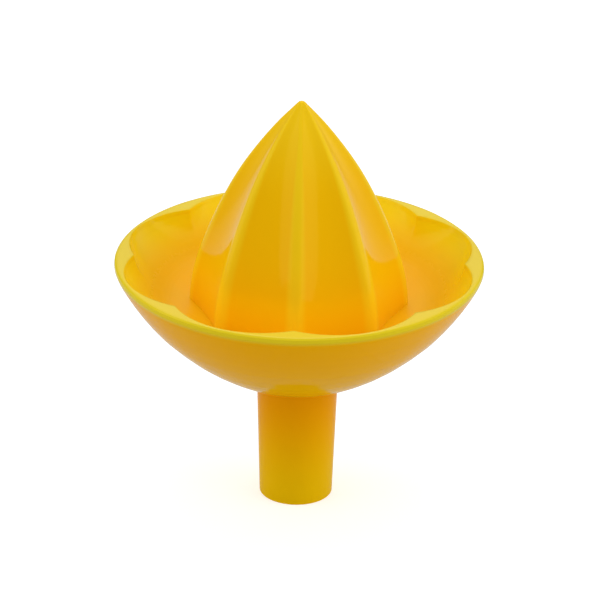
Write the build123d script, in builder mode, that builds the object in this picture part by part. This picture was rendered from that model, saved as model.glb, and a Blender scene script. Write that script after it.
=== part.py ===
from build123d import *
from math import cos, hypot, radians, sin
import os

# A lift-off citrus reaming cone for a powered press, in millimetres.
# The origin is the centre of the stem's lower end, and +Z is up. The ridge nearest the
# viewer lies on the -Y side, and ridge_turn turns all ridges about the axis, in degrees.

# Overall sizes
rim_radius = 54.0
stem_length = 38.0
bowl_height = 37.6
floor_gap = 14.2
cone_height = 62.9
ridge_count = 8
ridge_turn = -1.6
half_pitch = 180 / ridge_count
overrun = 1.0

# Reaming cone
foot_radius = 32.15
cone_wall = 2.4
ridge_round = 3.0
tip_cap_height = 0.5
post_wall = 1.48
post_gap = 0.3
web_thickness = 2.0
# Height share from foot to tip, ridge radius share of the foot radius, flute bottom
# share of the ridge radius, and ridge rounding share of ridge_round
cone_shares = [
    (0.0, 1.0, 0.911, 1.0),
    (0.12, 0.978, 0.902, 1.0),
    (0.26, 0.905, 0.892, 0.98),
    (0.4, 0.8, 0.886, 0.93),
    (0.54, 0.678, 0.884, 0.87),
    (0.67, 0.54, 0.884, 0.78),
    (0.79, 0.379, 0.886, 0.65),
    (0.89, 0.224, 0.892, 0.48),
    (0.95, 0.1155, 0.904, 0.3),
    (0.992, 0.0367, 0.94, 0.15),
]
web_foot_index = 4

# Juice dish
rib_round = 20.0
lip_round = 1.4
dish_wall = 1.6
dish_floor = 2.2
# floor_gap is the height of the dish floor over the outer shell at the scallops' foot.
# Drop share from the rim to the floor, then rib crest and scallop bottom shares of the
# rim radius, and rib rounding share of rib_round
scallop_shares = [
    (0.0, 0.900, 0.980, 0.025),
    (0.25, 0.884, 0.941, 0.15),
    (0.46, 0.860, 0.893, 0.5),
    (0.64, 0.825, 0.845, 1.0),
    (0.78, 0.784, 0.797, 1.5),
    (0.88, 0.742, 0.751, 1.5),
    (0.95, 0.692, 0.698, 1.5),
    (0.985, 0.645, 0.648, 1.5),
    (1.0, 0.600, 0.602, 1.5),
]
first_thin_index = 3
ring_wall = 2.4
ring_height = 4.5
ring_fit = 0.15
tongue_wall = 1.2
tongue_depth = 2.5

# Outer shell, under the rim. Radius share of the rim radius, then drop share from the
# rim to the hub. The seam between dish and shell lies on one of these points.
shell_shares = [
    (1.002, 0.038),
    (0.990, 0.080),
    (0.965, 0.1455),
    (0.947, 0.188),
    (0.900, 0.293),
    (0.800, 0.475),
    (0.650, 0.677),
    (0.500, 0.832),
    (0.360, 0.943),
    (0.240, 1.0),
]
seam_index = 3
hub_slope_share = 0.24
seam_wall = 1.6
hub_wall = 3.0
shell_fit = 0.1
collar_wall = 3.0
collar_height = 8.0
stiffener_thickness = 1.8
stiffener_height = 13.0

# Stem
stem_taper = 1.2
stem_shoulder = 1.85
stem_edge_round = 0.6
spigot_wall = 1.65
spigot_fit = 0.05
spigot_rise = 19.5
end_wall = 4.0
key_across_flats = 11.0
key_height = 5.0
key_fit = 0.15

# Spindle bush
bore_radius = 6.35
bush_wall = 2.15
bush_fit = 0.05
bush_inset = 0.6
bush_headroom = 8.0
bush_chamfer = 0.5
keyway_width = 3.2
keyway_depth = 1.2

# Screw, washer and threaded insert
screw_radius = 2.5
screw_fit = 0.05
screw_clearance = 0.25
screw_length = 20.0
head_margin = 0.75
head_height = 3.1
head_round = 0.8
drive_across_flats = 3.0
drive_depth = 2.0
washer_clearance = 0.85
washer_thickness = 1.0
insert_wall = 0.95
insert_length = 9.5
insert_recess = 0.4
insert_groove = 0.4

# Seal between the dish's ring and the cone
seal_radius = 0.65
seal_fit = 0.04


def polar(radius, angle):
    # Angle zero points at the viewer, along -Y, and angles run towards +X
    return (radius * sin(radians(angle)), -radius * cos(radians(angle)))


def lobed_outline(ridge_radius, valley_radius, rounding):
    # One arc from each ridge to the next, with the ridges rounded. A positive rounding
    # is for ridges that point to the axis, a negative one for ridges that point away.
    arm = ridge_radius + rounding
    reach = valley_radius + rounding
    arc_centre = (reach**2 - arm**2) / (2 * (reach - arm * cos(radians(half_pitch))))
    with BuildLine() as outline:
        for index in range(ridge_count):
            angle = ridge_turn + index * 2 * half_pitch
            ridge_x, ridge_y = polar(arm, angle)
            joints = []
            for side in (-1, 1):
                arc_x, arc_y = polar(arc_centre, angle + side * half_pitch)
                run_x, run_y = arc_x - ridge_x, arc_y - ridge_y
                step = abs(rounding) / hypot(run_x, run_y)
                joints.append((ridge_x + step * run_x, ridge_y + step * run_y))
            if index:
                ThreePointArc(last_joint, polar(valley_radius, angle - half_pitch), joints[0])
            else:
                first_joint = joints[0]
            ThreePointArc(joints[0], polar(ridge_radius, angle), joints[1])
            last_joint = joints[1]
        ThreePointArc(last_joint, polar(valley_radius, ridge_turn - half_pitch), first_joint)
    return outline.line


def inset_points(points, first_wall, last_wall):
    # Points moved square to a profile by a wall that grows evenly from point to point
    moved = []
    for index, (x, y) in enumerate(points):
        before = points[max(index - 1, 0)]
        after = points[min(index + 1, len(points) - 1)]
        run_x, run_y = after[0] - before[0], after[1] - before[1]
        wall = first_wall + (last_wall - first_wall) * index / (len(points) - 1)
        scale = wall / hypot(run_x, run_y)
        moved.append((x + run_y * scale, y - run_x * scale))
    return moved


def shell_level(radius):
    # Height of the outer shell at a radius, straight between the profile's points
    for (outer_x, outer_z), (inner_x, inner_z) in zip(shell_points, shell_points[1:]):
        if radius >= inner_x:
            return inner_z + (outer_z - inner_z) * (radius - inner_x) / (outer_x - inner_x)
    return hub_level


# Stem, spigot and what they hold, from the bore outwards
bush_radius = bore_radius + bush_wall
spigot_radius = bush_radius + bush_fit + spigot_wall
stem_top_radius = spigot_radius + stem_shoulder
stem_end_radius = stem_top_radius - stem_taper
washer_radius = bore_radius - washer_clearance
head_radius = washer_radius - head_margin
insert_radius = screw_radius + screw_fit + insert_wall
socket_flats_radius = key_across_flats / 2 + key_fit
post_radius = socket_flats_radius / cos(radians(30)) + post_wall

# Levels and profiles that several pieces share
hub_level = stem_length
rim_level = hub_level + bowl_height
shell_points = [(x * rim_radius, rim_level - y * bowl_height) for x, y in shell_shares]
seam_radius, seam_level = shell_points[seam_index]
floor_level = shell_level(scallop_shares[-1][2] * rim_radius) + floor_gap
floor_underside = floor_level - dish_floor
dish_levels = []
for drop, rib, bottom, turn in scallop_shares:
    level = rim_level - drop * (rim_level - floor_level)
    dish_levels.append((level, rib * rim_radius, bottom * rim_radius, turn * rib_round))
tip_level = floor_level + cone_height
cone_levels = []
for height, radius, valley, turn in cone_shares:
    ridge = radius * foot_radius
    cone_levels.append((floor_level + height * cone_height, ridge, valley * ridge, turn * ridge_round))
cavity_points = [
    (valley - cone_wall, level)
    for level, ridge, valley, turn in cone_levels
    if valley - cone_wall > post_radius
]
cavity_foot_radius = cavity_points[0][0]
cavity_crown_level = cavity_points[-1][1]
ring_outer = cavity_foot_radius - ring_fit
ring_inner = ring_outer - ring_wall
spigot_top = floor_level + spigot_rise
post_foot = spigot_top + post_gap
insert_foot = post_foot + key_height + insert_recess
end_wall_underside = spigot_top - end_wall
bush_top = end_wall_underside - bush_headroom


# Reaming cone
with BuildPart() as reamer_cone:
    for level, ridge, valley, turn in cone_levels:
        with BuildSketch(Plane.XY.offset(level)):
            add(lobed_outline(ridge, valley, -turn))
            make_face()
    loft()
    # Rounded tip over the last level
    tip_face_level, tip_ridge, tip_valley, tip_turn = cone_levels[-1]
    with BuildSketch(Plane.XZ):
        with BuildLine():
            ThreePointArc(
                (0, tip_level),
                (tip_valley / 2, tip_level - tip_cap_height / 4),
                (tip_valley, tip_face_level),
            )
            Polyline((tip_valley, tip_face_level), (0, tip_face_level), (0, tip_level))
        make_face()
    revolve(axis=Axis.Z)
    # Hollow inside, open at the foot
    with BuildSketch(Plane.XZ):
        with BuildLine():
            Spline(*cavity_points)
            Polyline(
                cavity_points[-1],
                (0, cavity_crown_level),
                (0, floor_level),
                cavity_points[0],
            )
        make_face()
    revolve(axis=Axis.Z, mode=Mode.SUBTRACT)
    # Round seat for the dish's ring
    with BuildSketch(Plane.XY.offset(floor_level)):
        Circle(cavity_foot_radius)
    extrude(amount=ring_height + seal_fit, mode=Mode.SUBTRACT)
    # Centre post, with webs out to the wall
    with BuildSketch(Plane.XY.offset(post_foot)):
        Circle(post_radius)
    extrude(amount=cavity_crown_level - post_foot + overrun)
    web_points = [(x + cone_wall / 2, y) for x, y in cavity_points[web_foot_index:]]
    for angle in (0, 90, 180, 270):
        with BuildSketch(Plane.XZ.rotated((0, 0, angle))):
            with BuildLine():
                Polyline(
                    (0, web_points[0][1]),
                    *web_points,
                    (0, web_points[-1][1]),
                    (0, web_points[0][1]),
                )
            make_face()
        extrude(amount=web_thickness / 2, both=True)
    # Six-sided socket, insert seat and run-out for the screw
    with BuildSketch(Plane.XY.offset(post_foot)):
        RegularPolygon(socket_flats_radius, 6, major_radius=False)
    extrude(amount=key_height, mode=Mode.SUBTRACT)
    with BuildSketch(Plane.XY.offset(post_foot)):
        Circle(insert_radius)
    extrude(amount=insert_foot + insert_length - post_foot, mode=Mode.SUBTRACT)
    with BuildSketch(Plane.XY.offset(insert_foot)):
        Circle(screw_radius + screw_clearance)
    extrude(amount=cavity_crown_level - insert_foot, mode=Mode.SUBTRACT)
reamer_cone.part.label = "reamer_cone"

# Round outside of rim and shell in one body, which the dish and the shell are cut from
with BuildPart() as round_body:
    with BuildSketch(Plane.XZ):
        with BuildLine():
            lip_x = shell_points[0][0] - lip_round
            Line((0, rim_level), (lip_x, rim_level))
            TangentArc((lip_x, rim_level), shell_points[0], tangent=(1, 0))
            Spline(*shell_points, tangents=[(0, -1), (-1, -hub_slope_share)])
            Polyline(shell_points[-1], (0, hub_level), (0, rim_level))
        make_face()
    revolve(axis=Axis.Z)

# Juice dish
with BuildPart() as juice_dish:
    add(round_body.part)
    split(bisect_by=Plane.XY.offset(seam_level), keep=Keep.TOP)
    # Wall and floor below the seam, inside the shell
    register_radius = seam_radius - seam_wall - shell_fit
    thin_points = [(bottom, level) for level, rib, bottom, turn in dish_levels[first_thin_index:]]
    under_points = inset_points(thin_points, -dish_wall, -dish_wall)
    with BuildSketch(Plane.XZ):
        with BuildLine():
            Spline((register_radius, seam_level), *under_points)
            Polyline(
                under_points[-1],
                (under_points[-1][0] - dish_wall, floor_underside),
                (0, floor_underside),
                (0, seam_level),
                (register_radius, seam_level),
            )
        make_face()
    revolve(axis=Axis.Z)
    # Scalloped inside
    for level, rib, bottom, turn in dish_levels:
        with BuildSketch(Plane.XY.offset(level)):
            add(lobed_outline(rib, bottom, turn))
            make_face()
    loft(mode=Mode.SUBTRACT)
    # Ring that locates the cone, tongue that locates the shell, and the middle opening
    with BuildSketch(Plane.XY.offset(floor_level)):
        Circle(ring_outer)
    extrude(amount=ring_height)
    with BuildSketch(Plane.XY.offset(floor_underside)):
        Circle(ring_inner + tongue_wall)
    extrude(amount=-tongue_depth)
    with BuildSketch(Plane.XY.offset(floor_underside - tongue_depth)):
        Circle(ring_inner)
    extrude(amount=tongue_depth + dish_floor + ring_height, mode=Mode.SUBTRACT)
    # Groove for the seal
    seal_level = floor_level + ring_height / 2
    seal_centre = cavity_foot_radius - seal_fit - 2 * seal_radius
    with BuildSketch(Plane.XZ):
        with Locations((seal_centre + seal_radius + overrun, seal_level)):
            Rectangle(2 * (seal_radius + overrun), 2 * (seal_radius + seal_fit))
    revolve(axis=Axis.Z, mode=Mode.SUBTRACT)
juice_dish.part.label = "juice_dish"

# Outer shell
shell_inner_points = [(seam_radius - seam_wall, seam_level)] + inset_points(
    shell_points[seam_index + 1 :], seam_wall, hub_wall
)
shell_seat_radius = ring_inner + tongue_wall + shell_fit
with BuildPart() as under_bowl:
    add(round_body.part)
    split(bisect_by=Plane.XY.offset(seam_level), keep=Keep.BOTTOM)
    with BuildSketch(Plane.XZ):
        with BuildLine():
            Spline(*shell_inner_points)
            Polyline(
                shell_inner_points[-1],
                (0, shell_inner_points[-1][1]),
                (0, seam_level),
                shell_inner_points[0],
            )
        make_face()
    revolve(axis=Axis.Z, mode=Mode.SUBTRACT)
    # Ring under the dish floor, collar round the spigot and stiffeners between them
    seat_outer = shell_seat_radius + ring_wall
    seat_foot = shell_level(seat_outer) + seam_wall / 2
    with BuildSketch(Plane.XY.offset(seat_foot)):
        Circle(seat_outer)
        Circle(shell_seat_radius, mode=Mode.SUBTRACT)
    extrude(amount=floor_underside - seat_foot)
    with BuildSketch(Plane.XY.offset(hub_level)):
        Circle(spigot_radius + spigot_fit + collar_wall)
    extrude(amount=hub_wall + collar_height)
    collar_middle = spigot_radius + spigot_fit + collar_wall / 2
    seat_middle = shell_seat_radius + ring_wall / 2
    for index in range(ridge_count):
        with BuildSketch(Plane.XZ.rotated((0, 0, index * 2 * half_pitch))):
            with BuildLine():
                Polyline(
                    (collar_middle, hub_level + hub_wall / 2),
                    (seat_middle, shell_level(seat_middle) + hub_wall / 2),
                    (seat_middle, hub_level + stiffener_height),
                    (collar_middle, hub_level + hub_wall + collar_height),
                    (collar_middle, hub_level + hub_wall / 2),
                )
            make_face()
        extrude(amount=stiffener_thickness / 2, both=True)
    with BuildSketch(Plane.XY.offset(hub_level)):
        Circle(spigot_radius + spigot_fit)
    extrude(amount=hub_wall + collar_height, mode=Mode.SUBTRACT)
under_bowl.part.label = "under_bowl"

# Stem
with BuildPart() as drive_stem:
    with BuildSketch(Plane.XZ):
        with BuildLine():
            Polyline(
                (0, 0),
                (stem_end_radius, 0),
                (stem_top_radius, hub_level),
                (spigot_radius, hub_level),
                (spigot_radius, spigot_top),
                (0, spigot_top),
                (0, 0),
            )
        make_face()
    revolve(axis=Axis.Z)
    end_edges = drive_stem.edges().filter_by(GeomType.CIRCLE).group_by(Axis.Z)[0]
    fillet(end_edges, stem_edge_round)
    with BuildSketch(Plane.XY.offset(spigot_top)):
        RegularPolygon(key_across_flats / 2, 6, major_radius=False)
    extrude(amount=key_height)
    with BuildSketch():
        Circle(bush_radius + bush_fit)
    extrude(amount=bush_top, mode=Mode.SUBTRACT)
    with BuildSketch():
        Circle(bore_radius)
    extrude(amount=end_wall_underside, mode=Mode.SUBTRACT)
    with BuildSketch(Plane.XY.offset(end_wall_underside)):
        Circle(screw_radius + screw_clearance)
    extrude(amount=end_wall + key_height, mode=Mode.SUBTRACT)
drive_stem.part.label = "drive_stem"

# Spindle bush with its keyway
with BuildPart() as spindle_bush:
    with BuildSketch(Plane.XY.offset(bush_inset)):
        Circle(bush_radius)
        Circle(bore_radius, mode=Mode.SUBTRACT)
    extrude(amount=bush_top - bush_inset)
    chamfer(spindle_bush.edges().filter_by(GeomType.CIRCLE), bush_chamfer)
    with BuildSketch(Plane.XY.offset(bush_inset)):
        with Locations((0, bore_radius)):
            Rectangle(keyway_width, 2 * keyway_depth)
    extrude(amount=bush_top - bush_inset, mode=Mode.SUBTRACT)
spindle_bush.part.label = "spindle_bush"

# Seal ring
with BuildPart() as cone_seal:
    with BuildSketch(Plane.XZ):
        with Locations((seal_centre + seal_radius, seal_level)):
            Circle(seal_radius)
    revolve(axis=Axis.Z)
cone_seal.part.label = "cone_seal"

# Threaded insert with its holding groove
with BuildPart() as thread_insert:
    with BuildSketch(Plane.XY.offset(insert_foot)):
        Circle(insert_radius)
        Circle(screw_radius + screw_fit, mode=Mode.SUBTRACT)
    extrude(amount=insert_length)
    with BuildSketch(Plane.XY.offset(insert_foot + insert_length / 3)):
        Circle(insert_radius)
        Circle(insert_radius - insert_groove, mode=Mode.SUBTRACT)
    extrude(amount=insert_length / 3, mode=Mode.SUBTRACT)
thread_insert.part.label = "thread_insert"

# Washer under the end wall
with BuildPart() as screw_washer:
    with BuildSketch(Plane.XY.offset(end_wall_underside - washer_thickness)):
        Circle(washer_radius)
        Circle(screw_radius + screw_clearance, mode=Mode.SUBTRACT)
    extrude(amount=washer_thickness)
screw_washer.part.label = "screw_washer"

# Pan-head screw, put in from below
head_seat = end_wall_underside - washer_thickness
with BuildPart() as cone_screw:
    with BuildSketch(Plane.XY.offset(head_seat - head_height)):
        Circle(head_radius)
    extrude(amount=head_height)
    head_edges = cone_screw.edges().filter_by(GeomType.CIRCLE).group_by(Axis.Z)[0]
    fillet(head_edges, head_round)
    with BuildSketch(Plane.XY.offset(head_seat)):
        Circle(screw_radius)
    extrude(amount=screw_length)
    with BuildSketch(Plane.XY.offset(head_seat - head_height)):
        RegularPolygon(drive_across_flats / 2, 6, major_radius=False)
    extrude(amount=drive_depth, mode=Mode.SUBTRACT)
cone_screw.part.label = "cone_screw"

os.makedirs("parts", exist_ok=True)
export_step(reamer_cone.part, "parts/reamer_cone.step")
export_step(juice_dish.part, "parts/juice_dish.step")
export_step(under_bowl.part, "parts/under_bowl.step")
export_step(drive_stem.part, "parts/drive_stem.step")
export_step(spindle_bush.part, "parts/spindle_bush.step")
export_step(cone_seal.part, "parts/cone_seal.step")
export_step(thread_insert.part, "parts/thread_insert.step")
export_step(screw_washer.part, "parts/screw_washer.step")
export_step(cone_screw.part, "parts/cone_screw.step")
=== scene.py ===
from math import atan2, cos, hypot, pi, radians, sin, sqrt, tau

import bmesh
import bpy
from mathutils import Matrix, Vector


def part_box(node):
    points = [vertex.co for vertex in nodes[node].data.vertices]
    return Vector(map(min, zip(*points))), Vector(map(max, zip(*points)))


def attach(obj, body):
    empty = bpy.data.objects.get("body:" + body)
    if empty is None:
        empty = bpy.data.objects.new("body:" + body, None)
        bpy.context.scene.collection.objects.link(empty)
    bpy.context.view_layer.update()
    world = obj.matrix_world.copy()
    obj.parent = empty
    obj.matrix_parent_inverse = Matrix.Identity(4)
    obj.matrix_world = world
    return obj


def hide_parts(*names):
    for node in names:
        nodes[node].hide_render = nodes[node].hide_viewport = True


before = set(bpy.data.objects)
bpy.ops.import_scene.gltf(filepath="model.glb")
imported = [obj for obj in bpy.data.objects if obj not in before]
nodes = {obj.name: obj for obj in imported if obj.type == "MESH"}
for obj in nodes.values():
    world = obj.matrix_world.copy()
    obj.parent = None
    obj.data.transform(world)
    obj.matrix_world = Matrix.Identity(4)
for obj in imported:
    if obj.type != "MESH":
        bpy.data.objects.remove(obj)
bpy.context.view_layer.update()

mm = 0.001
ridgeCount = 8
ridgeTurn = radians(-1.6)  # the ridge nearest the viewer stands a little to the left
# Where half a lobe has its vertices, from the ridge or rib to the middle of the hollow
ridgeAngles = [radians(angle) for angle in (0, 1.2, 2.5, 4.3, 7.5, 12, 17, 22.5)]
ribAngles = [radians(angle) for angle in (0, 0.3, 1.1, 3.5, 8, 13, 18, 22.5)]


# Shader maths: sums on sockets

noiseMiddle = 0.5  # what a noise node gives on average


class Wire:
    def __init__(self, tree, socket):
        self.tree = tree
        self.socket = socket

    def node(self, kind, settings, inputs, output=0):
        made = self.tree.nodes.new(kind)
        for name, value in settings.items():
            setattr(made, name, value)
        for name, value in inputs.items():
            if isinstance(value, Wire):
                self.tree.links.new(value.socket, made.inputs[name])
            else:
                made.inputs[name].default_value = value
        return Wire(self.tree, made.outputs[output])

    def maths(self, operation, first, second):
        return self.node("ShaderNodeMath", {"operation": operation}, {0: first, 1: second})

    def __add__(self, other):
        return self.maths("ADD", self, other)

    def __radd__(self, other):
        return self.maths("ADD", other, self)

    def __sub__(self, other):
        return self.maths("SUBTRACT", self, other)

    def __rsub__(self, other):
        return self.maths("SUBTRACT", other, self)

    def __mul__(self, other):
        return self.maths("MULTIPLY", self, other)

    def larger(self, other):
        return self.maths("MAXIMUM", self, other)

    def size(self):
        return self.maths("ABSOLUTE", self, 0)

    def split(self):
        parts = self.node("ShaderNodeSeparateXYZ", {}, {0: self}).socket.node.outputs
        return [Wire(self.tree, part) for part in parts]

    def ramp(self, low, high):
        # 0 at low, 1 at high and soft between
        settings = {"interpolation_type": "SMOOTHSTEP"}
        return self.node("ShaderNodeMapRange", settings, {0: self, 1: low, 2: high})

    def noise(self, scale, detail):
        return self.node("ShaderNodeTexNoise", {}, {"Vector": self, "Scale": scale, "Detail": detail})

    def bump(self, strength, distance):
        return self.node("ShaderNodeBump", {}, {"Height": self, "Strength": strength, "Distance": distance})


def linear(colour):
    # A colour of 0 to 255, as a picture editor gives it, in the shader's own numbers. Its
    # constants are those of the sRGB curve.
    parts = []
    for part in colour:
        share = part / 255
        parts.append(share / 12.92 if share < 0.04045 else ((share + 0.055) / 1.055) ** 2.4)
    return (*parts, 1)


def newMaterial(name):
    made = bpy.data.materials.new(name)
    made.use_nodes = True
    made.node_tree.nodes.clear()
    return made, Wire(made.node_tree, None)


def objectPlace(start):
    return start.node("ShaderNodeTexCoord", {}, {}, "Object")


def axisDistance(parts):
    squares = parts[0] * parts[0] + parts[1] * parts[1]
    return squares.maths("SQRT", squares, 0)


def finishMaterial(made, surface):
    output = made.node_tree.nodes.new("ShaderNodeOutputMaterial")
    made.node_tree.links.new(surface.socket, output.inputs["Surface"])
    return made


def blendColours(factor, first, second):
    # Sockets 6 and 7 are the mix node's two colours, and its third output is their blend
    return factor.node("ShaderNodeMix", {"data_type": "RGBA"}, {0: factor, 6: first, 7: second}, 2)


# Shaping tools

skin = {
    "rowSteps": 2,  # loops from one row of a table to the next
    "levels": 2,  # of the smoothing modifier
    "sharpAngle": radians(40),
    "weld": 0.005 * mm,
    "angleSlack": 0.001,  # keeps a vertex that lies on the first ridge at the start of its loop
    "factorDigits": 9,  # factors equal to so many digits are one move
}


def smoothRows(rows):
    # A soft curve through rows of numbers
    steps = skin["rowSteps"]
    ends = [rows[0]] + list(rows) + [rows[-1]]
    run = []
    for first, second, third, fourth in zip(ends, ends[1:], ends[2:], ends[3:]):
        for step in range(steps):
            t = step / steps
            point = []
            for a, b, c, d in zip(first, second, third, fourth):
                square, cube = 2 * a - 5 * b + 4 * c - d, 3 * b - a - 3 * c + d
                point.append(b + ((c - a) * t + square * t ** 2 + cube * t ** 3) / 2)
            run.append(tuple(point))
    run.append(tuple(rows[-1]))
    return run


def insetRows(rows, firstWall, lastWall):
    # Heights and radii moved square to the profile, into the wall
    moved = []
    for index, (height, radius) in enumerate(rows):
        before, after = rows[max(index - 1, 0)], rows[min(index + 1, len(rows) - 1)]
        rise, run = after[0] - before[0], after[1] - before[1]
        wall = firstWall + (lastWall - firstWall) * index / (len(rows) - 1)
        scale = wall / hypot(rise, run)
        moved.append((height - run * scale, radius + rise * scale))
    return moved


def outlineRadius(ridge, hollow, rounding, angle):
    # How far out the outline lies at an angle from a ridge. One arc runs from each ridge to
    # the next, and the ridge is rounded: below zero where it points away from the axis.
    if ridge == hollow:
        return ridge
    arm = ridge + rounding
    reach = hollow + rounding
    centre = (reach ** 2 - arm ** 2) / (2 * (reach - arm * cos(pi / ridgeCount)))
    runX = centre * cos(pi / ridgeCount) - arm
    runY = centre * sin(pi / ridgeCount)
    step = abs(rounding) / hypot(runX, runY)
    joint = atan2(step * runY, arm + step * runX)
    if angle < joint:
        side = -1 if rounding > 0 else 1
        return arm * cos(angle) + side * sqrt(rounding ** 2 - (arm * sin(angle)) ** 2)
    away = pi / ridgeCount - angle
    side = -1 if centre > hollow else 1
    return centre * cos(away) + side * sqrt((hollow - centre) ** 2 - (centre * sin(away)) ** 2)


def newestLoop(piece, size):
    # The vertices of the loop made last, in order round the axis from the first ridge
    mesh = bmesh.from_edit_mesh(piece.data)
    mesh.verts.ensure_lookup_table()
    angles = {}
    for vert in mesh.verts[-size:]:
        angles[vert.index] = (atan2(vert.co.x, -vert.co.y) - ridgeTurn + skin["angleSlack"]) % tau
    return sorted(angles, key=angles.get)


def chooseVerts(piece, chosen):
    bpy.ops.mesh.select_all(action="DESELECT")
    mesh = bmesh.from_edit_mesh(piece.data)
    mesh.verts.ensure_lookup_table()
    for index in chosen:
        mesh.verts[index].select = True
    mesh.select_flush(True)


def growPiece(name, rows, angles):
    # Builds a skin, loop by loop, from a circle. Each row is a loop: its height, its radius
    # at the ridges and in the hollows, the ridges' rounding, and 1 where its edge is crisp.
    perLobe = 2 * (len(angles) - 1)
    size = ridgeCount * perLobe
    height, ridge = rows[0][:2]
    bpy.ops.object.select_all(action="DESELECT")
    bpy.ops.mesh.primitive_circle_add(
        vertices=size, radius=ridge, location=(0, 0, height), rotation=(0, 0, pi + ridgeTurn)
    )
    piece = bpy.context.object
    piece.name = name
    bpy.ops.object.transform_apply(location=True, rotation=True, scale=True)
    bpy.ops.object.mode_set(mode="EDIT")
    bpy.ops.mesh.select_mode(type="VERT")
    firstLoop = loop = newestLoop(piece, size)
    for count in range(1, len(angles) - 1):  # turns the even vertices to their own angles
        for side in (1, -1):
            chooseVerts(piece, loop[side * count % perLobe::perLobe])
            turn = side * (count * tau / size - angles[count])
            bpy.ops.transform.rotate(value=turn, orient_axis="Z", center_override=(0, 0, height))
    places = [min(count % perLobe, perLobe - count % perLobe) for count in range(size)]
    radii = [ridge] * len(angles)
    chooseVerts(piece, loop)
    for number, (newHeight, ridge, hollow, rounding, crisp) in enumerate(rows):
        if number:
            move = (0, 0, newHeight - height)
            bpy.ops.mesh.extrude_region_move(TRANSFORM_OT_translate={"value": move})
            loop = newestLoop(piece, size)
        height = newHeight
        newRadii = [outlineRadius(ridge, hollow, rounding, angle) for angle in angles]
        factors = [round(new / old, skin["factorDigits"]) for new, old in zip(newRadii, radii)]
        for factor in sorted(set(factors) - {1}):
            moved = [index for index, place in zip(loop, places) if factors[place] == factor]
            chooseVerts(piece, moved)
            bpy.ops.transform.resize(value=(factor, factor, 1), center_override=(0, 0, height))
        chooseVerts(piece, loop)
        if crisp:
            bpy.ops.transform.edge_crease(value=1)
        radii = newRadii
    if rows[0] != rows[-1]:  # closes both ends with a fan of faces
        for end in (firstLoop, loop):
            chooseVerts(piece, end)
            bpy.ops.mesh.edge_face_add()
            bpy.ops.mesh.poke()
    bpy.ops.mesh.select_all(action="SELECT")
    bpy.ops.mesh.remove_doubles(threshold=skin["weld"])
    bpy.ops.mesh.normals_make_consistent(inside=False)
    bpy.ops.object.mode_set(mode="OBJECT")
    soft = piece.modifiers.new("soft", "SUBSURF")
    soft.levels = soft.render_levels = skin["levels"]
    bpy.ops.object.modifier_apply(modifier=soft.name)
    bpy.ops.object.shade_smooth_by_angle(angle=skin["sharpAngle"])
    print(name, len(piece.data.polygons), "faces")
    return piece


def placeOnBody(piece, node):
    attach(piece, "root")
    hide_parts(node)


# Reaming cone

coneShape = {
    # Height share, ridge radius share, flute share of the ridge radius, and the share of the
    # ridge's rounding
    "profileShares": [
        (0.992, 0.0367, 0.94, 0.15),
        (0.95, 0.1155, 0.904, 0.3),
        (0.89, 0.224, 0.892, 0.48),
        (0.79, 0.379, 0.886, 0.65),
        (0.67, 0.54, 0.884, 0.78),
        (0.54, 0.678, 0.884, 0.87),
        (0.4, 0.8, 0.886, 0.93),
        (0.26, 0.905, 0.892, 0.98),
        (0.12, 0.978, 0.902, 1.0),
        (0.0, 1.0, 0.911, 1.0),
    ],
    "ridgeRound": 3.0 * mm,
    "tipRound": 1.64 * mm,
    "tipDepths": [depth * mm for depth in (0.02, 0.1, 0.26)],
    "wall": 2.4 * mm,
    "seatHeight": 4.54 * mm,
    "seatStep": 0.3 * mm,
    "postRadius": 8.0 * mm,
    "socketRadius": 6.1 * mm,
    "socketDepth": 5.4 * mm,
    "insertRadius": 3.5 * mm,
    "insertLength": 9.5 * mm,
    "runoutRadius": 2.75 * mm,
    "runoutGap": 1 * mm,
}


def coneRadii():
    # Radius of the foot at the ridges, and of the hollow that sits on the dish's ring
    low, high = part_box("reamer_cone")
    foot = (high[0] - low[0]) / 2 / cos(ridgeTurn)
    return foot, foot * coneShape["profileShares"][-1][2] - coneShape["wall"]


def makeCone():
    shape = coneShape
    low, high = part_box("reamer_cone")
    foot, tip = low[2], high[2]
    footRadius, seat = coneRadii()
    rows = []
    for depth in shape["tipDepths"]:
        radius = sqrt(2 * shape["tipRound"] * depth - depth ** 2)
        rows.append((tip - depth, radius, radius, 0, 0))
    for share, ridge, hollow, rounding in smoothRows(shape["profileShares"]):
        height = foot + share * (tip - foot)
        radius = ridge * footRadius
        rows.append((height, radius, hollow * radius, -rounding * shape["ridgeRound"], 0))
    rows[-1] = rows[-1][:4] + (1,)
    cavity = []
    for share, ridge, hollow, rounding in reversed(shape["profileShares"]):
        radius = ridge * hollow * footRadius - shape["wall"]
        if radius > shape["postRadius"]:
            cavity.append((foot + share * (tip - foot), radius))
    seatTop = foot + shape["seatHeight"]
    crown = cavity[-1][0]
    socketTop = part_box("thread_insert")[0][2]
    postFoot = socketTop - shape["socketDepth"]
    insertTop = socketTop + shape["insertLength"]
    inside = [(foot, seat, 1), (seatTop, seat, 1), (seatTop, seat - shape["seatStep"], 1)]
    inside += [(height, radius, 0) for height, radius in cavity[1:]]
    inside += [
        (crown, shape["postRadius"], 1),
        (postFoot, shape["postRadius"], 1),
        (postFoot, shape["socketRadius"], 1),
        (socketTop, shape["socketRadius"], 1),
        (socketTop, shape["insertRadius"], 1),
        (insertTop, shape["insertRadius"], 1),
        (insertTop, shape["runoutRadius"], 1),
        (crown - shape["runoutGap"], shape["runoutRadius"], 1),
    ]
    rows += [(height, radius, radius, 0, crisp) for height, radius, crisp in inside]
    piece = growPiece("cone_skin", rows, ridgeAngles)
    placeOnBody(piece, "reamer_cone")
    return piece


# Juice dish

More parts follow.
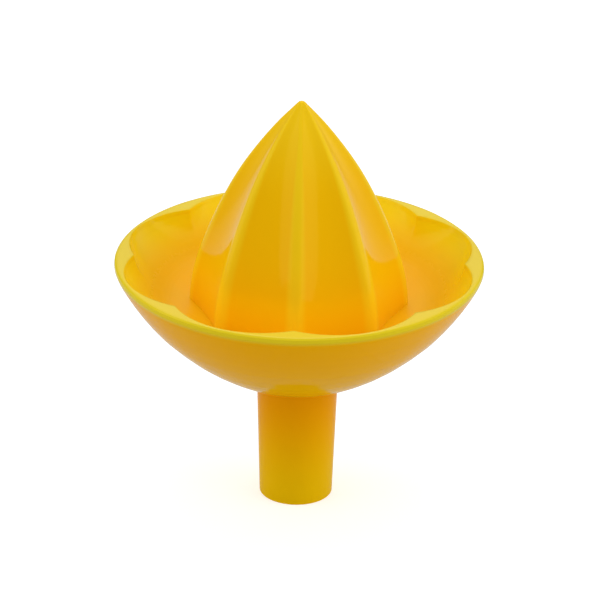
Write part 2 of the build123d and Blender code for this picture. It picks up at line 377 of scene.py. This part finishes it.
dishShape = {
    # Drop share from the rim to the floor, rib and scallop radius shares, and the rounding
    # of the ribs as a share of ribRound
    "scallopShares": [
        (1.0, 0.600, 0.602, 1.5),
        (0.985, 0.645, 0.648, 1.5),
        (0.95, 0.692, 0.698, 1.5),
        (0.88, 0.742, 0.751, 1.5),
        (0.78, 0.784, 0.797, 1.5),
        (0.64, 0.825, 0.845, 1.0),
        (0.46, 0.860, 0.893, 0.5),
        (0.25, 0.884, 0.941, 0.15),
        (0.0, 0.900, 0.980, 0.025),
    ],
    "rimRadius": 54 * mm,
    "floorThickness": 2.2 * mm,
    "wall": 1.6 * mm,
    "ringWall": 2.4 * mm,
    "ringHeight": 4.5 * mm,
    "tongueWall": 1.2 * mm,
    "tongueDepth": 2.5 * mm,
    "lipStart": 52.95 * mm,
    "lipRows": [(0.08 * mm, 53.45 * mm), (0.5 * mm, 53.95 * mm)],  # depth under the rim, radius
    "edgeRound": 0.35 * mm,
    "edgeShares": [(1, 1), (0.3, 0.7), (0, 0)],  # of edgeRound, down and inwards
    "ribRound": 20 * mm,
    "ringFit": 0.15 * mm,  # room between the ring and the cone
    "floorLoop": 30 * mm,  # radius of a loop that keeps the floor flat
    "seamStep": 1.7 * mm,  # how far the seam runs inwards
    "thinRows": 6,  # rows of scallopShares, from the floor up, that have a thin wall
}

outsideShape = {
    # The round outside of dish and shell under the rim, as radius shares and drop shares
    "shares": [
        (1.002, 0.038),
        (0.990, 0.080),
        (0.965, 0.1455),
        (0.947, 0.188),
        (0.900, 0.293),
        (0.800, 0.475),
        (0.650, 0.677),
        (0.500, 0.832),
        (0.360, 0.943),
        (0.240, 1.0),
    ],
    "seam": 3,  # the row where the shell starts
}


def outsideRows():
    # Heights and radii of the outside, from under the lip to the hub
    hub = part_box("under_bowl")[0][2]
    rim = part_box("juice_dish")[1][2]
    rows = []
    for radius, drop in outsideShape["shares"]:
        rows.append((rim - drop * (rim - hub), radius * dishShape["rimRadius"]))
    return rows


def makeDish():
    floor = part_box("reamer_cone")[0][2]
    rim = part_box("juice_dish")[1][2]
    radius = dishShape["rimRadius"]
    under = floor - dishShape["floorThickness"]
    ringOuter = coneRadii()[1] - dishShape["ringFit"]
    ringInner = ringOuter - dishShape["ringWall"]
    ringTop = floor + dishShape["ringHeight"]
    edge = dishShape["edgeRound"]
    start = (floor, ringOuter, ringOuter, 0, 1)
    rows = [start, (floor, dishShape["floorLoop"], dishShape["floorLoop"], 0, 0)]
    ribRound = dishShape["ribRound"]
    scallops = smoothRows(dishShape["scallopShares"])
    for drop, rib, hollow, rounding in scallops[:-1]:
        height = rim - drop * (rim - floor)
        rows.append((height, rib * radius, hollow * radius, rounding * ribRound, 0))
    rib, hollow = scallops[-1][1:3]
    tipRound = scallops[-1][3] * ribRound
    for down, inwards in dishShape["edgeShares"]:  # rounds the land's inner edge
        landRib, landHollow = rib * radius - inwards * edge, hollow * radius - inwards * edge
        rows.append((rim - down * edge, landRib, landHollow, tipRound, 0))
    rows.append((rim, dishShape["lipStart"], dishShape["lipStart"], 0, 0))
    for depth, outer in dishShape["lipRows"]:
        rows.append((rim - depth, outer, outer, 0, 0))
    outside = outsideRows()[:outsideShape["seam"] + 1]
    for height, outer in smoothRows(outside)[:-1]:
        rows.append((height, outer, outer, 0, 0))
    seam, seamRadius = outside[-1]
    thin = []  # the hidden underside runs beside the hollows
    for drop, rib, hollow, rounding in dishShape["scallopShares"][:dishShape["thinRows"]]:
        thin.append((rim - drop * (rim - floor), hollow * radius))
    thin = insetRows(thin, dishShape["wall"], dishShape["wall"])
    below = [(seam, seamRadius, 1), (seam, seamRadius - dishShape["seamStep"], 1)]
    below += [(height, outer, 0) for height, outer in reversed(thin)]
    below += [
        (under, thin[0][1] - dishShape["wall"], 1),
        (under, ringInner + dishShape["tongueWall"], 1),
        (under - dishShape["tongueDepth"], ringInner + dishShape["tongueWall"], 1),
        (under - dishShape["tongueDepth"], ringInner, 1),
        (ringTop, ringInner, 1),
        (ringTop, ringOuter, 1),
    ]
    rows += [(height, outer, outer, 0, crisp) for height, outer, crisp in below]
    rows.append(start)
    piece = growPiece("dish_skin", rows, ribAngles)
    placeOnBody(piece, "juice_dish")
    return piece


# Outer shell

shellShape = {
    "wall": 1.6 * mm,
    "hubWall": 3.0 * mm,
    "collarWall": 3.0 * mm,
    "collarHeight": 11 * mm,
    "bore": 10.25 * mm,
}


def makeShell():
    outside = outsideRows()[outsideShape["seam"]:]
    inside = insetRows(outside, shellShape["wall"], shellShape["hubWall"])
    seam, seamRadius = outside[0]
    hub = outside[-1][0]
    bore = shellShape["bore"]
    collar = bore + shellShape["collarWall"]
    loops = [(height, radius, 0) for height, radius in smoothRows(outside)]
    loops[0] = loops[0][:2] + (1,)
    loops[-1] = loops[-1][:2] + (1,)
    loops += [
        (hub, bore, 1),
        (hub + shellShape["collarHeight"], bore, 1),
        (hub + shellShape["collarHeight"], collar, 1),
        (hub + shellShape["hubWall"], collar, 1),
    ]
    loops += [(height, radius, 0) for height, radius in reversed(inside[1:-1])]
    loops.append((seam, seamRadius - shellShape["wall"], 1))
    loops.append(loops[0])
    rows = [(height, radius, radius, 0, crisp) for height, radius, crisp in loops]
    piece = growPiece("shell_skin", rows, ribAngles)
    placeOnBody(piece, "under_bowl")
    return piece


# Stem

stemShape = {
    "endRadius": 10.85 * mm,
    "topRadius": 12.05 * mm,
    "edge": 0.95 * mm,
    "edgeTaper": 0.03 * mm,  # how much wider the stem already is above its rounded edge
    "spigotRadius": 10.2 * mm,
    "keyRadius": 6.0 * mm,
    "keyHeight": 5 * mm,
    "holeRadius": 2.75 * mm,
    "boreRadius": 6.35 * mm,
    "bushSeatRadius": 8.55 * mm,
    "endWall": 4 * mm,
}


def makeStem():
    shape = stemShape
    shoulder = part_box("under_bowl")[0][2]
    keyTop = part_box("drive_stem")[1][2]
    spigotTop = keyTop - shape["keyHeight"]
    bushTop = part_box("spindle_bush")[1][2]
    rows = []
    for height, radius, crisp in (
        (0, shape["bushSeatRadius"], 1),
        (0, shape["endRadius"] - shape["edge"], 0),
        (0, shape["endRadius"], 0),
        (shape["edge"], shape["endRadius"] + shape["edgeTaper"], 0),
        (shoulder / 2, (shape["endRadius"] + shape["topRadius"]) / 2, 0),
        (shoulder, shape["topRadius"], 1),
        (shoulder, shape["spigotRadius"], 1),
        (spigotTop, shape["spigotRadius"], 1),
        (spigotTop, shape["keyRadius"], 1),
        (keyTop, shape["keyRadius"], 1),
        (keyTop, shape["holeRadius"], 1),
        (spigotTop - shape["endWall"], shape["holeRadius"], 1),
        (spigotTop - shape["endWall"], shape["boreRadius"], 1),
        (bushTop, shape["boreRadius"], 1),
        (bushTop, shape["bushSeatRadius"], 1),
        (0, shape["bushSeatRadius"], 1),
    ):
        rows.append((height, radius, radius, 0, crisp))
    piece = growPiece("stem_skin", rows, ridgeAngles)
    placeOnBody(piece, "drive_stem")
    return piece


cone = makeCone()
dish = makeDish()
shell = makeShell()
stem = makeStem()


# Yellow plastic

plasticLook = {
    "cone": (255, 194, 4),  # colours as a picture editor gives them
    # painted light: the dish's inside grows paler and yellower towards the rim, standing in for more light
    # on the upper wall
    "insideLow": (255, 193, 3),
    "insideHigh": (255, 230, 16),
    "outsideLow": (255, 200, 8),
    "outsideHigh": (255, 184, 2),
    # painted shade: the stem grows darker and more orange towards the top, where the bowl shades it
    "stemLow": (255, 206, 6),
    "stemHigh": (255, 168, 2),
    "ridge": (255, 221, 34),  # painted light: the ridges made paler, as if light came through the thin plastic
    # painted light: the outside band just under the rim is paler, where the lip's round catches light from
    # above
    "litLip": (236, 210, 32),
    # painted highlight: the land on top of the rim is paler, standing in for its reflection of the bright
    # background
    "landSheen": (241, 213, 60),
    "ridgeLightEdge": (0.6, 1.0),  # where the painted ridge light starts and is full, 1 being the crest
    # how far down from the tip the painted light reaches, and the shares of painted light at the tip and on
    # the ridges
    "tipLightFade": 26 * mm,
    "tipLightShare": 0.5,
    "ridgeLightShare": 0.6,
    # how far under the rim the painted lip light starts, and how soft its lower edge is
    "litLipHeight": 3 * mm,
    "litLipFade": 1.8 * mm,
    # how deep under the rim the painted highlight on the land reaches
    "landSheenDepth": 0.3 * mm,
    "wallSlope": 0.536,  # of a line between the dish's inner and outer walls
    "wallFade": (-0.2 * mm, 0.1 * mm),  # where the outside's colour starts and is full
    "outsideDepth": 2.2 * mm,  # from this far under the rim the dish has the outside's gloss
    "outsideReach": 0.9,  # on faces further out than this share of lipStart
    "roughness": 0.09,
    "roughnessSpread": 0.05,
    "troughRoughness": 0.22,  # how much duller the foot of the dish's wall is
    "gloss": 0.25,
    "glossTint": (1.0, 0.86, 0.2, 1),
    "outsideGloss": 0.05,
    "outsideTint": (1.0, 0.84, 0.04, 1),
    "refraction": 1.5,
    # Grain is the mould's fine texture, flow the slow waves of moulded plastic
    "grainScale": 900.0,
    "grainDetail": 2.0,
    "grainHeight": 0.05,
    "flowScale": 45.0,
    "flowDetail": 3.0,
    "flowHeight": 0.5,
    "flowTint": 0.06,
    "bumpStrength": 0.03,
    "bumpDistance": 1 * mm,
}


def onRidges(place):
    # The angle from the nearest ridge as a wave, 1 on a ridge and -1 in a hollow
    parts = place.split()
    turn = (place.maths("ARCTAN2", parts[0], 0 - parts[1]) - ridgeTurn) * ridgeCount
    return turn.maths("COSINE", turn, 0)


def heightBlend(height, low, high, name):
    # From the colour called name + Low, at low, to the one called name + High
    first, second = linear(plasticLook[name + "Low"]), linear(plasticLook[name + "High"])
    return blendColours(height.ramp(low, high), first, second)


def coneColour(place):
    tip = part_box("reamer_cone")[1][2]
    # painted light: the ridges and the top towards the tip are blended towards the paler ridge colour
    ridges = onRidges(place).ramp(*plasticLook["ridgeLightEdge"]) * plasticLook["ridgeLightShare"]
    top = place.split()[2].ramp(tip - plasticLook["tipLightFade"], tip) * plasticLook["tipLightShare"]
    return blendColours(ridges.larger(top), linear(plasticLook["cone"]), linear(plasticLook["ridge"]))


def dishColour(place):
    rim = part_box("juice_dish")[1][2]
    parts = place.split()
    wall = axisDistance(parts) + (rim - parts[2]) * plasticLook["wallSlope"]
    fadeStart, fadeEnd = plasticLook["wallFade"]
    outside = wall.ramp(dishShape["lipStart"] + fadeStart, dishShape["lipStart"] + fadeEnd)
    # painted light: a paler band on the outside just under the rim, where the lip's round is lit from above
    lipStart = rim - plasticLook["litLipHeight"]
    litLip = outside * parts[2].ramp(lipStart, lipStart + plasticLook["litLipFade"])
    # painted highlight: the land on top of the rim is paler, for its reflection of the bright background
    landSheen = parts[2].ramp(rim - plasticLook["landSheenDepth"], rim)
    # painted light: the inside is paler towards the rim, where more light reaches the wall
    inside = heightBlend(parts[2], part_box("reamer_cone")[0][2], rim, "inside")
    wallColour = blendColours(outside, inside, linear(plasticLook["outsideHigh"]))
    wallColour = blendColours(litLip, wallColour, linear(plasticLook["litLip"]))
    return blendColours(landSheen, wallColour, linear(plasticLook["landSheen"]))


def shellColour(place):
    low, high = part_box("under_bowl")
    return heightBlend(place.split()[2], low[2], high[2], "outside")


def stemColour(place):
    # painted shade: darker towards the top, under the bowl
    return heightBlend(place.split()[2], 0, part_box("under_bowl")[0][2], "stem")


def troughDullness(place):
    # The foot of the dish's wall is duller than its rim
    height = place.split()[2].ramp(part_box("reamer_cone")[0][2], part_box("juice_dish")[1][2])
    return (1 - height) * plasticLook["troughRoughness"]


def yellowPlastic(name, findColour, gloss, tint, findDullness=None):
    made, start = newMaterial(name)
    place = objectPlace(start)
    grain = place.noise(plasticLook["grainScale"], plasticLook["grainDetail"])
    flow = place.noise(plasticLook["flowScale"], plasticLook["flowDetail"])
    surfaceHeight = flow * plasticLook["flowHeight"] + grain * plasticLook["grainHeight"]
    roughness = plasticLook["roughness"] + (grain - noiseMiddle) * plasticLook["roughnessSpread"]
    if findDullness:
        roughness = roughness + findDullness(place)
    colour = blendColours(flow * plasticLook["flowTint"], findColour(place), linear(plasticLook["litLip"]))
    surface = start.node("ShaderNodeBsdfPrincipled", {}, {
        "Base Color": colour,
        "Roughness": roughness,
        "Normal": surfaceHeight.bump(plasticLook["bumpStrength"], plasticLook["bumpDistance"]),
        "IOR": plasticLook["refraction"],
        "Specular IOR Level": plasticLook[gloss],
        "Specular Tint": plasticLook[tint],
    })
    return finishMaterial(made, surface)


def dishOutsideFaces():
    # The faces of the dish's outer wall, under the lip
    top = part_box("juice_dish")[1][2] - plasticLook["outsideDepth"]
    reach = dishShape["lipStart"] * plasticLook["outsideReach"]
    faces = []
    for face in dish.data.polygons:
        outward = face.center.x * face.normal.x + face.center.y * face.normal.y > 0
        if outward and face.center.z < top and hypot(face.center.x, face.center.y) > reach:
            faces.append(face)
    return faces


plasticFinishes = (
    (cone, ("cone yellow", coneColour, "gloss", "glossTint")),
    (dish, ("dish yellow", dishColour, "gloss", "glossTint", troughDullness)),
    (dish, ("dish outside yellow", dishColour, "outsideGloss", "outsideTint", troughDullness)),
    (shell, ("shell yellow", shellColour, "outsideGloss", "outsideTint")),
    (stem, ("stem yellow", stemColour, "outsideGloss", "outsideTint")),
)
for piece, finish in plasticFinishes:
    piece.data.materials.append(yellowPlastic(*finish))
for face in dishOutsideFaces():
    face.material_index = 1
print("yellow plastic in", len(plasticFinishes), "finishes")


# Metal and rubber inside

metalLook = {
    "spindle_bush": {"light": (190, 187, 180), "dark": (158, 154, 146), "roughness": 0.34, "lines": 0.12},
    "thread_insert": {"light": (222, 186, 104), "dark": (190, 150, 72), "roughness": 0.28, "lines": 0.1},
    "screw_washer": {"light": (205, 206, 208), "dark": (172, 174, 178), "roughness": 0.3, "lines": 0.08},
    "cone_screw": {"light": (200, 201, 204), "dark": (162, 164, 169), "roughness": 0.26, "lines": 0.08},
}
metalTexture = {
    "turningScale": 4000.0,  # turning marks run round the axis
    "stainScale": 160.0,
    "stainDetail": 3.0,
    "bumpDistance": 0.1 * mm,
}
rubberLook = {
    "light": (44, 43, 42),
    "dark": (24, 24, 24),
    "roughness": 0.62,
    "roughnessSpread": 0.2,
    "dustScale": 700.0,
    "dustDetail": 4.0,
    "bumpStrength": 0.2,
    "bumpDistance": 0.1 * mm,
}


def turnedMetal(name, look):
    made, start = newMaterial(name.replace("_", " ") + " metal")
    place = objectPlace(start)
    parts = place.split()
    along = (axisDistance(parts) + parts[2]) * metalTexture["turningScale"]
    marks = start.node("ShaderNodeTexNoise", {"noise_dimensions": "1D"}, {"W": along})
    stains = place.noise(metalTexture["stainScale"], metalTexture["stainDetail"])
    surface = start.node("ShaderNodeBsdfPrincipled", {}, {
        "Base Color": blendColours(stains, linear(look["light"]), linear(look["dark"])),
        "Metallic": 1.0,
        "Roughness": look["roughness"] + (marks - noiseMiddle) * look["lines"],
        "Normal": marks.bump(look["lines"], metalTexture["bumpDistance"]),
    })
    return finishMaterial(made, surface)


def blackRubber():
    made, start = newMaterial("black rubber")
    dust = objectPlace(start).noise(rubberLook["dustScale"], rubberLook["dustDetail"])
    surface = start.node("ShaderNodeBsdfPrincipled", {}, {
        "Base Color": blendColours(dust, linear(rubberLook["light"]), linear(rubberLook["dark"])),
        "Roughness": rubberLook["roughness"] + (dust - noiseMiddle) * rubberLook["roughnessSpread"],
        "Normal": dust.bump(rubberLook["bumpStrength"], rubberLook["bumpDistance"]),
    })
    return finishMaterial(made, surface)


def dress(node, material):
    slots = nodes[node].data.materials
    slots.clear()
    slots.append(material)


for node, look in metalLook.items():
    dress(node, turnedMetal(node, look))
dress("cone_seal", blackRubber())
print("metal on", len(metalLook), "nodes, rubber on the seal")


# Floor, light and camera

studio = {
    "floorSize": 6.0,
    "floorColour": (0.7, 0.7, 0.7, 1),
    "floorLift": 0.55,  # how much whiter the floor looks than it is lit
    "glowBehind": 0.45,  # the glow is what lights matt surfaces
    "glowInFront": 0.27,
    "glowAbove": 0.55,
    "mirrorBehind": 1.1,  # the mirror values are what gloss shows
    "mirrorLow": 0.03,  # how much of that is left near the horizon
    "mirrorSide": 0.27,  # the same, to the left and right
    "mirrorTurn": 0.3,  # how much more comes from the right
    "mirrorInFront": 0.04,
    "mirrorPanel": 0.5,  # how bright the middle behind the object is against the sides
    "mirrorAbove": 0.4,
    # Where each change starts and ends, in parts of the direction that is looked in
    "backFade": (-0.3, 1.0),
    "glowRise": (0.0, 0.9),
    "sideFade": (0.5, 0.9),
    "panelFade": (0.08, 0.3),
    "mirrorRise": (0.12, 0.45),
    "mirrorTop": (0.55, 0.95),
    "lamps": {  # place, size and power
        "left softbox": ((-0.75, -0.1, 0.45), 0.7, 1.5),
        "right softbox": ((0.75, -0.2, 0.4), 0.75, 2.0),
        "top softbox": ((0, 0.45, 0.85), 0.6, 1.0),
    },
    "lampAim": (0, 0, 0.07),
}


def lightPath(start, name):
    return start.node("ShaderNodeLightPath", {}, {}, name)


def makeFloor():
    bpy.ops.object.select_all(action="DESELECT")
    bpy.ops.mesh.primitive_plane_add(size=studio["floorSize"], location=(0, 0, 0))
    floor = bpy.context.object
    floor.name = "floor"
    made, start = newMaterial("pale floor")
    lit = start.node("ShaderNodeBsdfDiffuse", {}, {"Color": studio["floorColour"]})
    glow = lightPath(start, "Is Camera Ray") * studio["floorLift"]
    lift = start.node("ShaderNodeEmission", {}, {"Strength": glow})
    surface = start.node("ShaderNodeAddShader", {}, {0: lit, 1: lift})
    floor.data.materials.append(finishMaterial(made, surface))


def makeBackdrop():
    world = bpy.data.worlds.new("studio")
    bpy.context.scene.world = world
    world.use_nodes = True
    tree = world.node_tree
    tree.nodes.clear()
    start = Wire(tree, None)
    camera = lightPath(start, "Is Camera Ray")
    gloss = lightPath(start, "Is Glossy Ray").larger(lightPath(start, "Is Transmission Ray"))
    right, back, up = start.node("ShaderNodeTexCoord", {}, {}, "Generated").split()
    away = back.ramp(*studio["backFade"])
    glow = studio["glowInFront"] + away * (studio["glowBehind"] - studio["glowInFront"])
    glow = glow + up.ramp(*studio["glowRise"]) * studio["glowAbove"]
    side = right.size().ramp(*studio["sideFade"])
    low = studio["mirrorLow"] + side * (studio["mirrorSide"] - studio["mirrorLow"])
    panel = (1 - right.size().ramp(*studio["panelFade"])) * studio["mirrorPanel"]
    rise = (up + right * studio["mirrorTurn"]).ramp(*studio["mirrorRise"])
    high = low + rise * panel.larger(side) * (1 - low)
    shine = studio["mirrorInFront"] + away * high * (studio["mirrorBehind"] - studio["mirrorInFront"])
    shine = shine + up.ramp(*studio["mirrorTop"]) * studio["mirrorAbove"]
    strength = camera + (1 - camera) * (gloss * shine + (1 - gloss) * glow)  # white to the camera
    light = start.node("ShaderNodeBackground", {}, {"Color": (1, 1, 1, 1), "Strength": strength})
    output = tree.nodes.new("ShaderNodeOutputWorld")
    tree.links.new(light.socket, output.inputs["Surface"])


def makeLamps():
    for name, (place, size, power) in studio["lamps"].items():
        bpy.ops.object.light_add(type="AREA", location=place)
        lamp = bpy.context.object
        lamp.name = name
        lamp.data.size = size
        lamp.data.energy = power
        aim = Vector(studio["lampAim"]) - Vector(place)
        lamp.rotation_euler = aim.to_track_quat("-Z", "Y").to_euler()


cameraView = {
    "place": (0, -0.978, 0.5205),
    "aim": (0.0004, 0, 0.0624),
    "lens": 220.6,
    "sensor": 36,
    "roll": radians(0.92),
    "farthest": 20,
}


def makeCamera():
    view = cameraView
    bpy.ops.object.camera_add(location=view["place"])
    camera = bpy.context.object
    aim = (Vector(view["aim"]) - Vector(view["place"])).to_track_quat("-Z", "Y")
    camera.rotation_euler = (aim.to_matrix() @ Matrix.Rotation(view["roll"], 3, "Z")).to_euler()
    camera.data.lens = view["lens"]
    camera.data.sensor_width = view["sensor"]
    camera.data.clip_end = view["farthest"]
    bpy.context.scene.camera = camera


makeFloor()
makeBackdrop()
makeLamps()
makeCamera()
bpy.context.scene.view_settings.view_transform = "Standard"
print("studio with", len(studio["lamps"]), "lamps and a camera")
